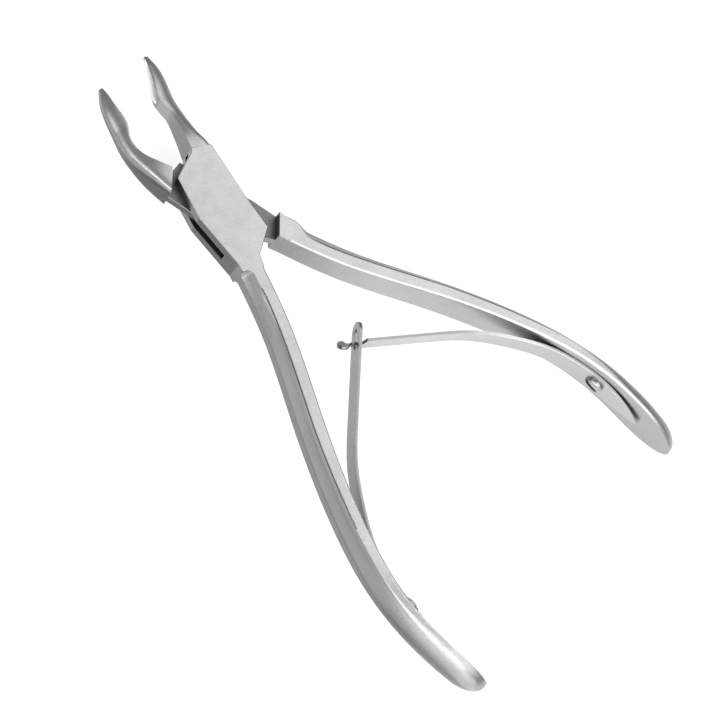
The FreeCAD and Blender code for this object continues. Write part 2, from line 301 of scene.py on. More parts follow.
def to_object(name, mesh):
    data = bpy.data.meshes.new(name)
    mesh.to_mesh(data)
    mesh.free()
    piece = bpy.data.objects.new(name, data)
    bpy.context.scene.collection.objects.link(piece)
    return piece


def paint(piece, finish):
    """Gives every face one of a lever's finishes: None keeps what they have.

    0 satin, 1 machined and dark as painted shade, 2 honed and near white as a painted highlight, 3 near
    black as painted shade in the slot and along the fine lines, 4 bright as a painted highlight along the
    edges."""
    for material in FINISHES:
        piece.data.materials.append(material)
    if finish is not None:
        for face in piece.data.polygons:
            face.material_index = finish
    return piece


def apply_modifiers(piece):
    graph = bpy.context.evaluated_depsgraph_get()
    done = bpy.data.meshes.new_from_object(piece.evaluated_get(graph))
    piece.modifiers.clear()
    piece.data = done


def cut_away(piece, cutters):
    """Takes the cutters out of the piece and removes them."""
    for cutter in cutters:
        boolean = piece.modifiers.new("cut", "BOOLEAN")
        boolean.operation = "DIFFERENCE"
        boolean.solver = "EXACT"
        boolean.object = cutter
    apply_modifiers(piece)
    for cutter in cutters:
        bpy.data.objects.remove(cutter)


def finish_edges(piece, width, limit=35.0, segments=2):
    """Rounds the hard edges a little and shades the rest smooth."""
    if width > 0:
        bevel = piece.modifiers.new("edge", "BEVEL")
        bevel.width = width * MM
        bevel.segments = segments
        bevel.limit_method = "ANGLE"
        bevel.angle_limit = math.radians(limit)
        bevel.use_clamp_overlap = True
        apply_modifiers(piece)
    mesh = bmesh.new()
    mesh.from_mesh(piece.data)
    for face in mesh.faces:
        face.smooth = True
    for edge in mesh.edges:
        edge.smooth = edge.calc_face_angle(0.0) < math.radians(32.0)
    mesh.to_mesh(piece.data)
    mesh.free()
    weighted = piece.modifiers.new("flat_faces_stay_flat", "WEIGHTED_NORMAL")
    weighted.weight = 80
    weighted.keep_sharp = True
    apply_modifiers(piece)


def prism(name, outline, half, edge=0.0):
    """Upright plate about the mid-plane, its edges rounded by edge mm."""
    mesh = bmesh.new()
    low = [mesh.verts.new((x * MM, y * MM, (MID_Z - half) * MM)) for x, y in outline]
    high = [mesh.verts.new((x * MM, y * MM, (MID_Z + half) * MM)) for x, y in outline]
    count = len(outline)
    mesh.faces.new(low[::-1])
    mesh.faces.new(high)
    for i in range(count):
        j = (i + 1) % count
        mesh.faces.new((low[i], low[j], high[j], high[i]))
    bmesh.ops.recalc_face_normals(mesh, faces=mesh.faces)
    if edge > 0:
        bmesh.ops.bevel(mesh, geom=list(mesh.edges), offset=edge * MM, segments=3, profile=0.5,
                        affect="EDGES")
    return to_object(name, mesh)


def disc_points(radius, count=96):
    return [(radius * math.cos(2 * math.pi * k / count), radius * math.sin(2 * math.pi * k / count))
            for k in range(count)]


# jaw stations: inner point, outer point, half height, roundness of the outside (2 round, 8 square)
INNER_JAW = [((-2.6, 13.1), (-7.1, 9.3), 4.7, 7.0),
             ((-3.9, 16.2), (-7.6, 14.2), 4.35, 5.0),
             ((-4.7, 20.0), (-7.7, 19.2), 3.3, 3.0),
             ((-3.9, 23.6), (-7.1, 23.2), 2.65, 2.3),
             ((-2.1, 26.0), (-5.8, 26.8), 2.5, 2.0),
             ((-0.9, 30.2), (-4.1, 30.9), 2.1, 2.0),
             ((0.1, 34.0), (-2.0, 34.3), 1.35, 2.0),
             ((0.5, 35.8), (-0.4, 36.0), 0.6, 2.0)]
OUTER_JAW = [((3.0, 11.6), (7.2, 9.8), 4.4, 9.0),
             ((3.6, 13.4), (7.6, 11.6), 4.4, 8.0),
             ((4.9, 16.2), (8.0, 15.0), 4.1, 4.5),
             ((5.9, 18.9), (8.8, 18.2), 3.4, 3.0),
             ((6.8, 22.0), (9.6, 21.0), 2.7, 2.3),
             ((7.2, 25.9), (10.5, 24.0), 2.5, 2.0),
             ((9.4, 29.6), (12.2, 27.9), 2.1, 2.0),
             ((11.5, 33.0), (13.3, 31.8), 1.35, 2.0),
             ((12.6, 34.9), (13.4, 34.4), 0.6, 2.0)]
JAW_RINGS = 72
JAW_ARC = 22
JAW_RIM = 0.14
HEEL_TO_TIP = (4, 1)                 # stations where the cup starts and stops, counted from the tip


def jaw_rings(stations):
    """Rings of a jaw from its root to its tip: flat inner side, outside from square to round."""
    inner = Curve([s[0] for s in stations])
    outer = Curve([s[1] for s in stations])
    inner_at = [inner.nearest(s[0]) for s in stations]
    outer_at = [outer.nearest(s[1]) for s in stations]
    places = np.arange(len(stations))
    heights = Curve([(i * 4.0, s[2]) for i, s in enumerate(stations)])
    rings = []
    for k in range(JAW_RINGS + 1):
        place = k * (len(stations) - 1) / JAW_RINGS
        near = inner.at(np.interp(place, places, inner_at))
        far = outer.at(np.interp(place, places, outer_at))
        row = int(np.argmin(np.abs(heights.points[:, 0] - place * 4.0)))
        half = heights.points[row, 1]
        power = 2.0 / np.interp(place, places, [s[3] for s in stations])
        width = np.linalg.norm(far - near)
        rim = min(JAW_RIM, half * 0.3)
        upper = [(0.0, half - rim), (rim * 0.3, half - rim * 0.3)]
        for step in range(1, JAW_ARC + 1):
            angle = math.pi / 2.0 * (1.0 - step / JAW_ARC)
            depth = max(rim, width * math.cos(angle) ** power)
            upper.append((depth, half * math.sin(angle) ** power))
        lower = [(u, -z) for u, z in reversed(upper[:-1])]
        rings.append(placed(near, far, upper + lower))
    return rings


# ---- leaf springs ----
LEAF_HALF_T = 0.35
SEAT_GAP = 0.09
LEAF_CLAMP = [95.0, 90.0, 85.0, 80.0, 75.0]
LEAF_FREE = [(30.8, -73.0), (27.1, -66.9), (20.6, -58.6), (13.4, -52.3), (0.0, -41.5), (-4.9, -37.6)]
CROSSING = (0.0, -41.5)
HOOKED_HALF_W = 3.5
SLOTTED_HALF_W = 2.75
LEAF_SLOT = (-1.4, 4.8, 1.05)        # start past the crossing, length, half width
LEAF_TIP_WALL = 1.6
NECK_HALF_W = 0.65
NECK_BEFORE = 0.95                   # mm of neck on the lever side of the crossing
LEAF_CORNER = 0.25                   # round on the corners beside the neck
CORNER_BEFORE = 0.55                 # that round starts this far before the start of the neck
NECK_FLARE = (0.27, 0.12)            # this far before its start the neck is this much wider on each edge
NECK_RUN = (0.25, 1.2)               # even part of the neck: past its start, past the crossing
FOOT_STEP = 0.8                      # gap between the foot's stations and the strip's
PADDLE_START = 1.35                  # mm past the crossing
PADDLE = (3.2, 1.5, 40.0)            # length, half width, twist in degrees
LEAF_ROOT_T = 0.35                   # share of its thickness that a leaf has at its root
LEAF_GROWTH = 18.0                   # mm over which it gets its full thickness
FOOT_TAPER = 15.0                    # mm over which the foot widens
FOOT_NOSE = 0.03                     # the first station is this far from the foot's end
FOOT_CROWDING = 1.8                  # how much closer the stations stand near that end
FOOT_FULLNESS = 0.62                 # below 1 the taper is blunter than a sine
FOOT_LIFT = (14.0, 20.0)             # mm over which the leaf leaves its seat
SEAT_LEFT = 0.02                     # gap left under the foot
BLEND_REACH = 3.0                    # mm of leaf on each side of the flex line


def leaf_curve():
    handle = Curve(HANDLE_INNER)
    clamp = [tuple(handle.at(d) - handle.normal(d) * (LEAF_HALF_T + SEAT_GAP)) for d in LEAF_CLAMP]
    return Curve(clamp + LEAF_FREE)


def leaf_grid(name, curve, stations, side):
    """Strip of leaf through stations of (distance, lower edge, upper edge, twist in degrees)."""
    mesh = bmesh.new()
    uv = mesh.loops.layers.uv.new("length_and_girth")
    rows = []
    for distance, low, high, twist in stations:
        point = curve.at(distance)
        tangent = curve.tangent(distance)
        normal = curve.normal(distance)
        angle = math.radians(twist)
        up = Vector((normal[0] * math.sin(angle), normal[1] * math.sin(angle), math.cos(angle)))
        out = Vector((normal[0] * math.cos(angle), normal[1] * math.cos(angle), -math.sin(angle)))
        centre = Vector((point[0], point[1], 0.0))
        grown = smoothstep(0.0, LEAF_GROWTH, distance)
        free_side = LEAF_HALF_T * (1.0 - 2.0 * mix(LEAF_ROOT_T, 1.0, grown))
        seat_side = LEAF_HALF_T + (SEAT_GAP - SEAT_LEFT) * (1.0 - smoothstep(*FOOT_LIFT, distance))
        ring = []
        for h, reach in ((low, free_side), (high, free_side), (high, seat_side), (low, seat_side)):
            place = centre + up * h + out * reach
            ring.append(mesh.verts.new((side * place.x * MM, place.y * MM, (place.z + MID_Z) * MM)))
        rows.append(ring)
    for row, after, here, there in zip(rows, rows[1:], stations, stations[1:]):
        for i in range(4):
            j = (i + 1) % 4
            face = mesh.faces.new((row[i], row[j], after[j], after[i]))
            corners = ((here[0], i), (here[0], i + 1), (there[0], i + 1), (there[0], i))
            for loop, corner in zip(face.loops, corners):
                loop[uv].uv = (corner[0] * MM, corner[1] * 2.0 * MM)
    mesh.faces.new(rows[0][::-1])
    mesh.faces.new(rows[-1])
    bmesh.ops.remove_doubles(mesh, verts=mesh.verts, dist=1e-6)
    bmesh.ops.recalc_face_normals(mesh, faces=mesh.faces)
    return to_object(name, mesh)


def spaced(start, stop, count):
    return [start + (stop - start) * k / count for k in range(count + 1)]


def foot_outline(half_width, count=26):
    """Distances and half widths of the leaf's tapered, round-nosed foot."""
    places = [FOOT_NOSE + FOOT_TAPER * (k / count) ** FOOT_CROWDING for k in range(count + 1)]
    return [(d, half_width * math.sin(math.pi / 2.0 * min(1.0, d / FOOT_TAPER)) ** FOOT_FULLNESS)
            for d in places]


def leaf_cutter(name, curve, outline, side):
    """Upright cutter through a leaf: outline is (distance, height) round the opening."""
    mesh = bmesh.new()
    layers = []
    for reach in (-1.5, 1.5):
        layer = []
        for distance, height in outline:
            x, y = curve.at(distance) + curve.normal(distance) * reach
            layer.append(mesh.verts.new((side * x * MM, y * MM, (height + MID_Z) * MM)))
        layers.append(layer)
    mesh.faces.new(layers[0][::-1])
    mesh.faces.new(layers[1])
    count = len(outline)
    for i in range(count):
        j = (i + 1) % count
        mesh.faces.new((layers[0][i], layers[0][j], layers[1][j], layers[1][i]))
    bmesh.ops.recalc_face_normals(mesh, faces=mesh.faces)
    return to_object(name, mesh)


def hooked_leaf():
    """Leaf of the +X handle: round foot, wide strip, neck and twisted paddle."""
    curve = leaf_curve()
    crossing = curve.nearest(CROSSING)
    shoulder = crossing - NECK_BEFORE
    stations = [(d, -w, w, 0.0) for d, w in foot_outline(HOOKED_HALF_W)]
    stations += [(d, -HOOKED_HALF_W, HOOKED_HALF_W, 0.0)
                 for d in spaced(FOOT_TAPER + FOOT_STEP, shoulder - CORNER_BEFORE, 90)]
    for k in range(1, 7):
        turn = math.pi / 2.0 * k / 6.0
        half_w = HOOKED_HALF_W - LEAF_CORNER * (1.0 - math.cos(turn))
        stations.append((shoulder - CORNER_BEFORE + LEAF_CORNER * math.sin(turn), -half_w, half_w, 0.0))
    before, wider = NECK_FLARE
    stations.append((shoulder - before, -NECK_HALF_W - wider, NECK_HALF_W + wider, 0.0))
    stations += [(d, -NECK_HALF_W, NECK_HALF_W, 0.0)
                 for d in spaced(shoulder + NECK_RUN[0], crossing + NECK_RUN[1], 8)]
    start = crossing + PADDLE_START
    length, half_w, twist = PADDLE
    for k in range(0, 17):
        share = k / 16.0
        place = start + share * length
        width = half_w * math.sqrt(max(0.0, 1.0 - (2.0 * share - 1.0) ** 2))
        width = max(width, NECK_HALF_W * (1.0 - share) if share < 0.5 else 0.25)
        stations.append((place, -width, width, twist * smoothstep(0.0, 0.5, share)))
    return leaf_grid("hooked_leaf_spring", curve, stations, 1.0)


def slotted_leaf():
    """Leaf of the -X handle: round foot, strip, slot and round tip."""
    curve = leaf_curve()
    crossing = curve.nearest(CROSSING)
    begin, length, half = LEAF_SLOT
    end = crossing + begin + length + LEAF_TIP_WALL
    stations = [(d, -w, w, 0.0) for d, w in foot_outline(SLOTTED_HALF_W)]
    stations += [(d, -SLOTTED_HALF_W, SLOTTED_HALF_W, 0.0)
                 for d in spaced(FOOT_TAPER + FOOT_STEP, end - SLOTTED_HALF_W - 0.2, 96)]
    for k in range(0, 15):
        turn = math.pi / 2.0 * k / 15.0
        half_w = SLOTTED_HALF_W * math.cos(turn)
        stations.append((end - SLOTTED_HALF_W * (1.0 - math.sin(turn)), -half_w, half_w, 0.0))
    leaf = leaf_grid("slotted_leaf_spring", curve, stations, -1.0)
    first = crossing + begin + half
    last = crossing + begin + length - half
    outline = [(first - half * math.sin(a), half * math.cos(a)) for a in np.linspace(0.0, math.pi, 17)]
    outline += [(last + half * math.sin(a), -half * math.cos(a)) for a in np.linspace(0.0, math.pi, 17)]
    cut_away(leaf, [leaf_cutter("leaf_slot_cutter", curve, outline, -1.0)])
    return leaf


# ---- screws ----
SCREW_HEAD_R = 2.3
SCREW_HEAD_H = 1.35
SCREW_Y = -87.4
SHANK_R = 1.2
SHANK_L = 4.2
DRIVE_HALF = 0.5                     # half width of the drive slot
DRIVE_DEPTH = 0.75
DRIVE_LEAN = {1.0: 72.0, -1.0: 40.0}        # degrees that each screw's slot is turned from upright


def screw_head(name, side):
    """Cheese head with a domed rim and a drive slot, turned about the handle's normal."""
    handle = Curve(HANDLE_INNER)
    row = int(np.argmin(np.abs(handle.points[:, 1] - SCREW_Y)))
    distance = handle.lengths[row]
    point = handle.at(distance)
    out = handle.normal(distance)
    axis = Vector((-out[0] * side, -out[1], 0.0))
    seat = Vector((point[0] * side, point[1], 0.0)) + axis * (2.0 * LEAF_HALF_T - 0.05)
    up = Vector((0.0, 0.0, 1.0))
    across = axis.cross(up)
    profile = [(0.0, SCREW_HEAD_H), (0.9, SCREW_HEAD_H), (1.6, SCREW_HEAD_H - 0.05)]
    profile += [(SCREW_HEAD_R - 0.75 + 0.75 * math.sin(a), SCREW_HEAD_H - 0.8 + 0.75 * math.cos(a))
                for a in np.linspace(0.25, math.pi / 2.0, 7)]
    profile += [(SCREW_HEAD_R, 0.25), (SCREW_HEAD_R - 0.12, 0.06), (SCREW_HEAD_R - 0.3, 0.0)]
    profile += [(SHANK_R, 0.0), (SHANK_R, -SHANK_L), (0.0, -SHANK_L)]
    lift = Vector((0.0, 0.0, MID_Z))
    mesh = bmesh.new()
    uv = mesh.loops.layers.uv.new("length_and_girth")
    steps = 64
    rows = []
    for k in range(steps):
        turn = 2.0 * math.pi * k / steps
        radial = up * math.cos(turn) + across * math.sin(turn)
        rows.append([mesh.verts.new((seat + radial * r + axis * h + lift) * MM) for r, h in profile])
    for k in range(steps):
        a = rows[k]
        b = rows[(k + 1) % steps]
        for i in range(len(profile) - 1):
            corners = [a[i], a[i + 1], b[i + 1], b[i]]
            face = mesh.faces.new(corners)
            for loop, corner in zip(face.loops, ((k, i), (k, i + 1), (k + 1, i + 1), (k + 1, i))):
                loop[uv].uv = (corner[0] * 0.0002, corner[1] * 0.0004)
    bmesh.ops.remove_doubles(mesh, verts=mesh.verts, dist=1e-6)
    bmesh.ops.dissolve_degenerate(mesh, edges=mesh.edges, dist=1e-6)
    bmesh.ops.recalc_face_normals(mesh, faces=mesh.faces)
    head = to_object(name, mesh)
    cutter = bmesh.new()
    lean = math.radians(DRIVE_LEAN[side])
    blade = up * math.cos(lean) + across * math.sin(lean)
    edge = axis.cross(blade)
    corners = []
    for h in (SCREW_HEAD_H - DRIVE_DEPTH, SCREW_HEAD_H + 0.5):
        for b, e in ((-3, -DRIVE_HALF), (3, -DRIVE_HALF), (3, DRIVE_HALF), (-3, DRIVE_HALF)):
            place = seat + axis * h + blade * b + edge * e + lift
            corners.append(cutter.verts.new(place * MM))
    for ids in ((3, 2, 1, 0), (4, 5, 6, 7), (0, 1, 5, 4), (1, 2, 6, 5), (2, 3, 7, 6), (3, 0, 4, 7)):
        cutter.faces.new([corners[i] for i in ids])
    bmesh.ops.recalc_face_normals(cutter, faces=cutter.faces)
    cut_away(head, [to_object(name + "_cutter", cutter)])
    return head


# ---- levers ----
SLOT_RADIUS = 13.6
SLOT_OUTLINE = [(-15.6, 15.6), (5.05, 15.6), (5.05, 7.8), (15.6, 7.8), (15.6, -15.6),
                (-0.6, -15.6), (-2.75, -7.8), (-15.6, -7.8)]
CUP_WALL = 0.34                      # rim left around the cup
CUP_DEPTH = 0.62                     # share of the jaw's width
CUP_RINGS = 40
CUP_END = 0.22                       # share of the cup's length over which each end rounds off
CUP_LEAD = 1.2                       # the cutter starts this far in front of the jaw's face


def cup_cutter(name, stations):
    """Spoon-shaped hollow behind the rim of a jaw, from the heel to the tip."""
    inner = Curve([s[0] for s in stations])
    outer = Curve([s[1] for s in stations])
    first = len(stations) - HEEL_TO_TIP[0]
    last = len(stations) - HEEL_TO_TIP[1]
    places = np.arange(len(stations))
    inner_at = [inner.nearest(s[0]) for s in stations]
    outer_at = [outer.nearest(s[1]) for s in stations]
    rings = []
    for k in range(1, CUP_RINGS):
        share = k / CUP_RINGS
        place = first - 0.05 + (last - first - 0.1) * share
        inside = inner.at(np.interp(place, places, inner_at))
        outside = outer.at(np.interp(place, places, outer_at))
        half = np.interp(place, places, [s[2] for s in stations])
        near = min(1.0, share / CUP_END, (1.0 - share) / CUP_END)
        end = (2.0 * near - near ** 2) ** 0.5
        height = max(0.05, (half - CUP_WALL) * end)
        depth = max(0.05, np.linalg.norm(outside - inside) * CUP_DEPTH * end)
        ring = [(depth * math.sin(a), height * math.cos(a)) for a in np.linspace(0.0, math.pi, 25)]
        ring += [(-CUP_LEAD, -height), (-CUP_LEAD, height)]
        rings.append(placed(inside, outside, ring))
    return skin(name, rings)


def slot_cutter(name):
    """Opening through the box: the plan outline kept inside the slot's radius."""
    ring = []
    count = len(SLOT_OUTLINE)
    for i in range(count):
        a = np.array(SLOT_OUTLINE[i])
        b = np.array(SLOT_OUTLINE[(i + 1) % count])
        for k in range(24):
            p = a + (b - a) * k / 24.0
            r = np.linalg.norm(p)
            ring.append(tuple(p if r < SLOT_RADIUS else p * SLOT_RADIUS / r))
    return prism(name, ring, SLOT_HALF)


def join(name, pieces):
    """Unites closed meshes into one piece."""
    base = pieces[0]
    for other in pieces[1:]:
        boolean = base.modifiers.new("join", "BOOLEAN")
        boolean.operation = "UNION"
        boolean.solver = "EXACT"
        boolean.object = other
    apply_modifiers(base)
    for other in pieces[1:]:
        bpy.data.objects.remove(other)
    base.name = name
    return base


RING_POINTS = 2 * (3 + BEVEL_STEPS) * CORNER_STEPS
GROOVE_BAND = list(range(2 * CORNER_STEPS - 1, 3 * CORNER_STEPS - 2))
GROOVE_BAND += [RING_POINTS - 2 - i for i in GROOVE_BAND]
EDGE_BAND = list(range(CORNER_STEPS - 1))
EDGE_BAND += [RING_POINTS - 2 - i for i in EDGE_BAND]
# the fine line's faces take the near-black finish: painted shade in the groove
LINE_SHADE = (GROOVE_BAND, 66, 126, 3)     # fine line between each strip and its bevel
# a band of the inner handle's edge faces takes the bright finish: painted highlight along the inner edge
EDGE_HIGHLIGHT = (EDGE_BAND, 14, 150, 4)
BLOCK_FACE = Vector((-0.66, 0.75, 0.0))     # the shoulder block's face towards the box
BLOCK_OUTLINE = [(3.3, -13.1), (7.4, -9.5), (7.95, -12.3), (7.4, -15.0), (4.6, -16.0)]
TONGUE_OUTLINE = [(-3.4, 12.6), (0.5, 13.0), (6.1, -3.4), (7.4, -9.5), (8.0, -12.3),
                  (5.2, -15.0), (3.5, -13.4), (-5.7, -0.5), (-6.0, 4.4), (-7.2, 10.0)]
BOX_OUTLINE = [(2.7, 12.6), (3.6, 13.4), (7.5, 11.1), (4.4, -2.4), (3.1, -10.0), (-2.8, -13.0),
               (-4.0, -15.5), (-8.4, -13.0), (-7.9, -11.4), (-6.7, 1.3), (-3.6, 10.7)]
PLATE_EDGE = 0.12                    # round on the edges of the block and the tongue
RIVET_SUNK = 0.06                    # the rivet's ends lie this far under the box faces
RIVET_EDGE = 0.05
BOX_EDGE = 0.2


def inner_lever():
    """Jaw on -X, tongue through the box, shoulder block and handle on +X."""
    rings = handle_rings(SHOULDER_HALF, *INNER_BEVEL)
    handle = paint(skin("inner_handle", rings, (LINE_SHADE, EDGE_HIGHLIGHT)), None)
    jaw = paint(skin("inner_jaw", jaw_rings(INNER_JAW)), 0)
    # the cup's hollow takes the near-white honed finish, a painted highlight
    cut_away(jaw, [paint(cup_cutter("inner_cup", INNER_JAW), 2)])
    root = paint(prism("inner_root", BLOCK_OUTLINE, SHOULDER_HALF, PLATE_EDGE), 0)
    # the block's face towards the box takes the dark machined finish: painted shade in the step
    for face in root.data.polygons:
        if face.normal.dot(BLOCK_FACE) > 0.95:
            face.material_index = 1
    # the tongue takes the dark machined finish as painted shade, its -X side the satin one
    tongue = paint(prism("inner_tongue", TONGUE_OUTLINE, TONGUE_HALF, PLATE_EDGE), 1)
    for face in tongue.data.polygons:
        if face.normal.x < -0.5:
            face.material_index = 0
    lever = join("inner_lever_steel", [tongue, root, handle, jaw])
    # the bore's walls take the dark machined finish, painted shade
    cut_away(lever, [paint(prism("rivet_bore", disc_points(RIVET_R + 0.04), BOX_HALF), 1)])
    return lever


def outer_lever():
    """Jaw on +X, slotted box and handle on -X."""
    rings = mirrored(handle_rings(BOX_HALF - 0.02, *OUTER_BEVEL))
    handle = paint(skin("outer_handle", rings, (LINE_SHADE,)), None)
    jaw = paint(skin("outer_jaw", jaw_rings(OUTER_JAW)), 0)
    # the cup's hollow takes the near-white honed finish, a painted highlight
    cut_away(jaw, [paint(cup_cutter("outer_cup", OUTER_JAW), 2)])
    box = paint(prism("outer_box", BOX_OUTLINE, BOX_HALF, BOX_EDGE), 0)
    lever = join("outer_lever_steel", [box, handle, jaw])
    # the window's walls take the near-black finish: painted shade inside the slot
    cut_away(lever, [paint(slot_cutter("box_slot"), 3)])
    return lever


# ---- materials ----
class Nodes:
    """Small helper to wire up a node tree."""

    def __init__(self, material):
        material.use_nodes = True
        self.tree = material.node_tree
        self.tree.nodes.clear()

    def add(self, kind, settings=None, **inputs):
        node = self.tree.nodes.new(kind)
        for key, value in (settings or {}).items():
            setattr(node, key, value)
        for key, value in inputs.items():
            numbered = key.startswith("i") and key[1:].isdigit()
            socket = node.inputs[int(key[1:])] if numbered else node.inputs[key]
            if isinstance(value, bpy.types.NodeSocket):
                self.tree.links.new(value, socket)
            else:
                socket.default_value = value
        return node

    def ramp(self, value, low, high, to_low, to_high):
        node = self.add("ShaderNodeMapRange", None, Value=value)
        for key, number in (("From Min", low), ("From Max", high), ("To Min", to_low), ("To Max", to_high)):
            node.inputs[key].default_value = number
        return node.outputs["Result"]

    def noise(self, vector, scale, detail=3.0, rough=0.55):
        node = self.add("ShaderNodeTexNoise", None, Vector=vector, Scale=scale, Detail=detail,
                        Roughness=rough)
        return node.outputs["Fac"]

    def stretch(self, vector, scale, turn=0.0):
        node = self.add("ShaderNodeMapping", None, Vector=vector, Scale=scale, Rotation=(0.0, 0.0, turn))
        return node.outputs["Vector"]

    def math(self, operation, a, b):
        return self.add("ShaderNodeMath", {"operation": operation}, i0=a, i1=b).outputs[0]

    def facing(self, normal, direction):
        node = self.add("ShaderNodeVectorMath", {"operation": "DOT_PRODUCT"}, i0=normal, i1=direction)
        return node.outputs["Value"]

    def part(self, vector, axis):
        return self.add("ShaderNodeSeparateXYZ", None, Vector=vector).outputs[axis]


# painted shade on the levers' sides that face these directions: direction, where its mask starts and is
# full, strength, side of the tool
FLANK_SHADE = [((0.93, 0.33, 0.1), 0.30, 0.80, 1.25, 1.0),
          ((-0.85, 0.52, 0.0), 0.90, 0.97, 0.9, 1.0),
          ((-0.95, 0.30, 0.0), 0.80, 0.97, 1.1, -1.0),
          ((-0.98, -0.20, -0.1), 0.86, 0.95, 0.9, -1.0)]


SIDES_SPLIT = -0.002                 # X in metres between the two sides of the tool
SHEEN_FROM_TO = (-0.036, -0.018)    # Y over which the inner faces go from a painted reflection to painted shade near the box
JAW_SIDE_SHADE_X = (0.018, 0.026)        # X over which the painted shade on a leaf's side towards the jaws stops


def steel(name, tone, rough, direction, grain=1.0, crevice_shade=0.5, flank_shade=0.0, painted_sheen=0.0, jaw_side_shade=0.0):
    """Satin stainless: brush lines, fine grain, cloudy polish, rubbed edges, painted shade in crevices.

    The last three arguments paint light and shade: how much the outward sides of the levers are darkened as
    painted shade, how much their inner faces are brightened as a painted reflection (darkened as painted
    shade near the box), and how much the sides towards the jaws are darkened as painted shade."""
    material = bpy.data.materials.new(name)
    n = Nodes(material)
    source = n.add("ShaderNodeTexCoord")
    place = source.outputs["Object"]
    along = n.stretch(place, (1.0, 1.0, 1.0), direction)
    lines = n.noise(n.stretch(along, (90.0, 2600.0, 2600.0)), 1.0, 4.0, 0.7)
    fine = n.noise(n.stretch(along, (700.0, 6500.0, 6500.0)), 1.0, 3.0, 0.7)
    speck = n.noise(place, 3400.0, 2.0, 0.6)
    clouds = n.noise(place, 55.0, 4.0, 0.55)
    smudge = n.noise(place, 240.0, 5.0, 0.6)
    scratch = n.noise(n.stretch(place, (120.0, 5200.0, 900.0), direction + 0.9), 1.0, 2.0, 0.4)
    scratches = n.ramp(scratch, 0.70, 0.78, 0.0, 1.0)
    bevel = n.add("ShaderNodeBevel", {"samples": 6}, Radius=0.00030)
    geometry = n.add("ShaderNodeNewGeometry")
    rounding = n.facing(bevel.outputs["Normal"], geometry.outputs["Normal"])
    edges = n.ramp(rounding, 0.86, 0.998, 1.0, 0.0)
    shade = n.math("ADD", n.ramp(lines, 0.3, 0.7, -0.020 * grain, 0.020 * grain),
                   n.ramp(fine, 0.3, 0.7, -0.030 * grain, 0.030 * grain))
    shade = n.math("ADD", shade, n.ramp(speck, 0.3, 0.7, -0.035 * grain, 0.035 * grain))
    shade = n.math("ADD", shade, n.ramp(clouds, 0.35, 0.65, -0.012, 0.012))
    shade = n.math("ADD", shade, n.ramp(edges, 0.0, 1.0, 0.0, 0.12))
    shade = n.math("ADD", shade, n.math("MULTIPLY", scratches, -0.02))
    shade = n.math("ADD", shade, tone)
    # painted shade: darkens crevices, recesses and the gaps between parts wherever the AO node finds close
    # surfaces
    crevice = n.add("ShaderNodeAmbientOcclusion", {"samples": 6}, Distance=0.0016).outputs["AO"]
    shade = n.math("MULTIPLY", shade, n.ramp(crevice, 0.15, 0.85, 1.0 - crevice_shade, 1.0))
    normal = source.outputs["Normal"]
    across = n.part(place, "X")
    # painted shade: darkens faces that point along each listed direction, on the listed side of the tool
    if flank_shade > 0:
        is_right = n.math("GREATER_THAN", across, SIDES_SPLIT)
        is_left = n.math("SUBTRACT", 1.0, is_right)
        for towards, low, high, share, where in FLANK_SHADE:
            masked = n.ramp(n.facing(normal, towards), low, high, 0.0, share * flank_shade)
            darker = n.math("MULTIPLY", masked, is_right if where > 0 else is_left)
            shade = n.math("MULTIPLY", shade, n.math("SUBTRACT", 1.0, darker))
    # painted reflection on the inner faces away from the box, painted shade on them near it
    if painted_sheen > 0:
        by_place = n.ramp(n.part(place, "Y"), *SHEEN_FROM_TO, painted_sheen, -painted_sheen)
        for side in (-1.0, 1.0):
            inward = n.facing(normal, (0.87 * side, -0.48, 0.0))
            sheen_here = n.math("MULTIPLY", n.ramp(inward, 0.80, 0.97, 0.0, 1.0), by_place)
            shade = n.math("ADD", shade, sheen_here)
    # painted shade: darkens faces turned up and towards the jaws, for X below the given range
    if jaw_side_shade > 0:
        away = n.facing(normal, (-0.2, 0.6, 0.75))
        by_place = n.ramp(across, *JAW_SIDE_SHADE_X, 1.0, 0.0)
        less = n.math("MULTIPLY", n.ramp(away, 0.2, 0.55, 0.0, jaw_side_shade), by_place)
        shade = n.math("MULTIPLY", shade, n.math("SUBTRACT", 1.0, less))
    colour = n.add("ShaderNodeCombineColor", None, Red=shade, Green=shade,
                   Blue=n.math("MULTIPLY", shade, 1.004))
    roughness = n.math("ADD", n.ramp(lines, 0.3, 0.7, rough - 0.04, rough + 0.04),
                       n.ramp(smudge, 0.4, 0.7, -0.02, 0.05))
    roughness = n.math("ADD", roughness, n.ramp(edges, 0.0, 1.0, 0.0, -0.10))
    height = n.math("ADD", n.math("MULTIPLY", lines, 0.8), n.math("MULTIPLY", fine, 0.6))
    height = n.math("ADD", height, n.math("MULTIPLY", speck, 0.4))
    height = n.math("SUBTRACT", height, n.math("MULTIPLY", scratches, 0.25))
    bump = n.add("ShaderNodeBump", None, Height=height, Strength=0.5, Distance=0.00003)
    shader = n.add("ShaderNodeBsdfPrincipled", None, Roughness=roughness, Metallic=1.0,
                   Normal=bump.outputs["Normal"])
    n.tree.links.new(colour.outputs["Color"], shader.inputs["Base Color"])
    output = n.add("ShaderNodeOutputMaterial")
    n.tree.links.new(shader.outputs["BSDF"], output.inputs["Surface"])
    return material


def dress(piece, material):
    if material is not None:
        piece.data.materials.clear()
        piece.data.materials.append(material)


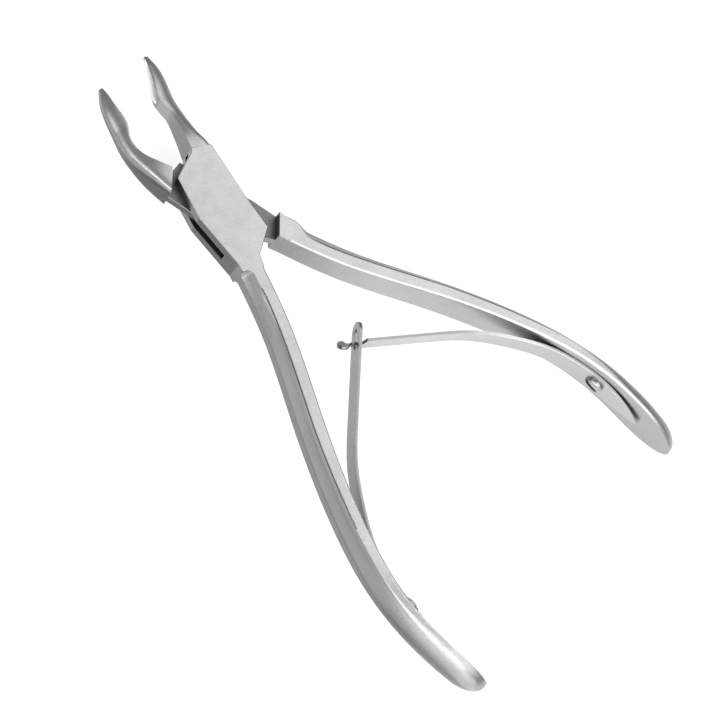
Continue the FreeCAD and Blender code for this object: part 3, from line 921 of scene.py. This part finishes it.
FINISHES = [steel("satin_lever_steel", 0.37, 0.33, 1.2, 1.0, 0.4, 0.5, 0.10),
            # machined finish whose low tone is painted shade on the joint's tongue and block face
            steel("machined_joint_shaded_steel", 0.17, 0.48, 0.4, 0.8, 0.6),
            # honed finish whose near-white tone is a painted highlight in the cups
            steel("honed_cup_steel", 0.95, 0.22, 1.6, 0.3, 0.0),
            # near-black tone: painted shade in the box's window and along the fine lines
            steel("slot_shadow_steel", 0.06, 0.50, 0.4, 0.5, 0.6),
            # bright tone: painted highlight along the handle's inner edge, on top of a polished finish
            steel("edge_highlight_steel", 0.60, 0.30, 1.2, 0.3, 0.0)]
RIVET = steel("ground_rivet_steel", 0.38, 0.36, 1.2)
SPRING = steel("rolled_spring_steel", 0.47, 0.30, 0.9, 0.8, 0.15, 0.0, 0.0, 0.5)
SCREW = steel("turned_screw_steel", 0.42, 0.28, 0.3, 0.7, 0.6)

inner = inner_lever()
outer = outer_lever()
for lever in (inner, outer):
    finish_edges(lever, 0.0)
hooked = hooked_leaf()
slotted = slotted_leaf()
for leaf in (hooked, slotted):
    finish_edges(leaf, 0.2, 50.0, 3)
screws = [screw_head("hooked_screw_head", 1.0), screw_head("slotted_screw_head", -1.0)]
for screw in screws:
    finish_edges(screw, 0.06, 40.0, 2)

for piece, body, node, material, slot in (
        (inner, "inner_half", "inner_lever", None, "lever_steel"),
        (outer, "outer_half", "outer_lever", None, "lever_steel"),
        (screws[0], "inner_half", "hooked_spring_screw", SCREW, "screw_steel"),
        (screws[1], "outer_half", "slotted_spring_screw", SCREW, "screw_steel")):
    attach(piece, body)
    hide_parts(node)
    dress(piece, material)

for leaf, lever_body, leaf_body, nodes in (
        (hooked, "inner_half", "hooked_leaf", ("hooked_spring_foot", "hooked_spring_blade")),
        (slotted, "outer_half", "slotted_leaf", ("slotted_spring_foot", "slotted_spring_blade"))):
    curve = leaf_curve()
    hinge = curve.nearest(LEAF_FREE[0])
    start = curve.at(hinge - BLEND_REACH)
    end = curve.at(hinge + BLEND_REACH)
    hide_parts(*nodes)
    dress(leaf, SPRING)
    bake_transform(leaf)

rivet = prism("pivot_rivet_steel", disc_points(RIVET_R), BOX_HALF - RIVET_SUNK, RIVET_EDGE)
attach(rivet, "outer_half")
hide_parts("pivot_rivet")
finish_edges(rivet, 0.0)
dress(rivet, RIVET)

# ---- floor, light and camera ----
low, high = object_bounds()
bpy.ops.mesh.primitive_plane_add(size=6.0, location=(0.0, 0.0, low.z - 0.0002))
floor = bpy.context.object
floor.name = "studio_floor"
white = bpy.data.materials.new("studio_white")
w = Nodes(white)
paper = w.add("ShaderNodeBsdfDiffuse", None, Color=(0.30, 0.30, 0.30, 1.0))
glow = w.add("ShaderNodeEmission", None, Color=(1.0, 1.0, 1.0, 1.0), Strength=0.84)
both = w.add("ShaderNodeAddShader", None, i0=paper.outputs["BSDF"], i1=glow.outputs["Emission"])
out = w.add("ShaderNodeOutputMaterial")
w.tree.links.new(both.outputs["Shader"], out.inputs["Surface"])
floor.data.materials.append(white)


def area_light(name, direction, distance, size, radiance):
    """Soft box that looks at the tool from a direction, of a given brightness."""
    light = bpy.data.lights.new(name, "AREA")
    light.shape = "RECTANGLE"
    light.size, light.size_y = size
    light.energy = radiance * math.pi * size[0] * size[1]
    lamp = bpy.data.objects.new(name, light)
    bpy.context.scene.collection.objects.link(lamp)
    middle = Vector((0.0, -0.04, 0.005))
    lamp.location = middle + Vector(direction).normalized() * distance
    lamp.rotation_euler = (middle - lamp.location).to_track_quat("-Z", "Y").to_euler()
    return lamp


world = bpy.data.worlds.new("studio")
world.use_nodes = True
world.node_tree.nodes["Background"].inputs["Color"].default_value = (1.0, 1.0, 1.0, 1.0)
world.node_tree.nodes["Background"].inputs["Strength"].default_value = 0.42
bpy.context.scene.world = world
area_light("overhead_softbox", (0.50, -0.10, 0.86), 0.6, (0.62, 0.46), 1.70)
area_light("long_strip", (-0.74, 0.02, 0.66), 0.6, (1.0, 0.32), 2.8)
area_light("palm_softbox", (-0.15, -0.60, 0.78), 0.6, (0.60, 0.46), 1.8)
area_light("low_fill", (-0.80, -0.55, 0.20), 0.6, (0.80, 0.30), 1.3)

bpy.context.scene.view_settings.view_transform = "Standard"

data = bpy.data.cameras.new("product_camera")
data.lens = CAMERA_LENS
data.sensor_width = 36.0
data.clip_start = 0.01
camera = bpy.data.objects.new("product_camera", data)
bpy.context.scene.collection.objects.link(camera)
az, el = CAMERA_AZIMUTH, CAMERA_ELEVATION
forward = Vector((-math.sin(az) * math.cos(el), math.cos(az) * math.cos(el), -math.sin(el)))
level = forward.cross(Vector((0.0, 0.0, 1.0))).normalized()
raised = level.cross(forward).normalized()
right = level * math.cos(CAMERA_ROLL) + raised * math.sin(CAMERA_ROLL)
above = right.cross(forward).normalized()
camera.matrix_world = Matrix((
    (right.x, above.x, -forward.x, 0.0),
    (right.y, above.y, -forward.y, 0.0),
    (right.z, above.z, -forward.z, 0.0),
    (0.0, 0.0, 0.0, 1.0)))
camera.location = CAMERA_TARGET - forward * CAMERA_DISTANCE
bpy.context.scene.camera = camera
